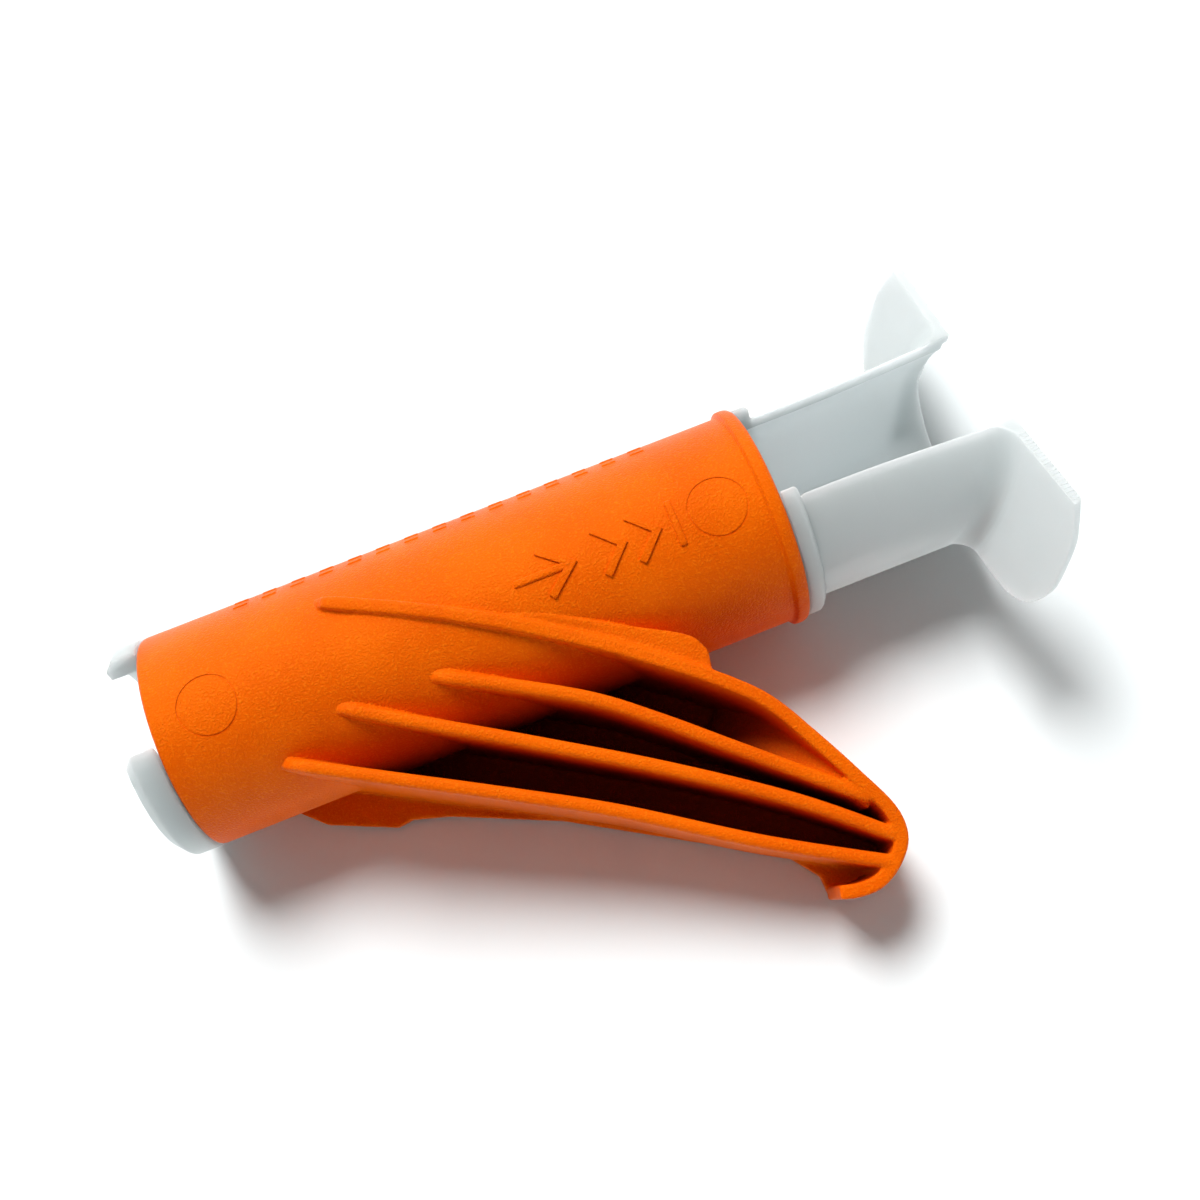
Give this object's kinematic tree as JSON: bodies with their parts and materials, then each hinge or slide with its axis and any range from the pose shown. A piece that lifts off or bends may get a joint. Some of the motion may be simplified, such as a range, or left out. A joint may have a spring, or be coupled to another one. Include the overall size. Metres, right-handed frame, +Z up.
{
  "type": "cable sleeving applicator",
  "caption": "Hand applicator for slit cable sleeving: a hooked tube grip with a turning split liner that ends in lead-in wings.",
  "frame": {"origin": "middle of the footprint, on the surface that the tool lies on, with the tool on the flat of its finger grip", "axes": "+X along the tube towards the liner's wings, +Y away from the finger grip, +Z up out of the cored side of the grip"},
  "size_m": [0.0772, 0.0518, 0.0218],
  "materials": {
    "orange_moulding": "spark-textured orange moulding, satin",
    "natural_moulding": "smooth natural white moulding, slightly translucent"
  },
  "bodies": {
    "grip": {"grip_body": "orange_moulding"},
    "liner": {"split_liner": "natural_moulding"}
  },
  "joints": [
    {"name": "liner_turn", "type": "hinge", "parent": "grip", "child": "liner", "pos_m": [0, 0.00723, 0.00985], "axis": [1, 0, 0], "continuous": true}
  ]
}
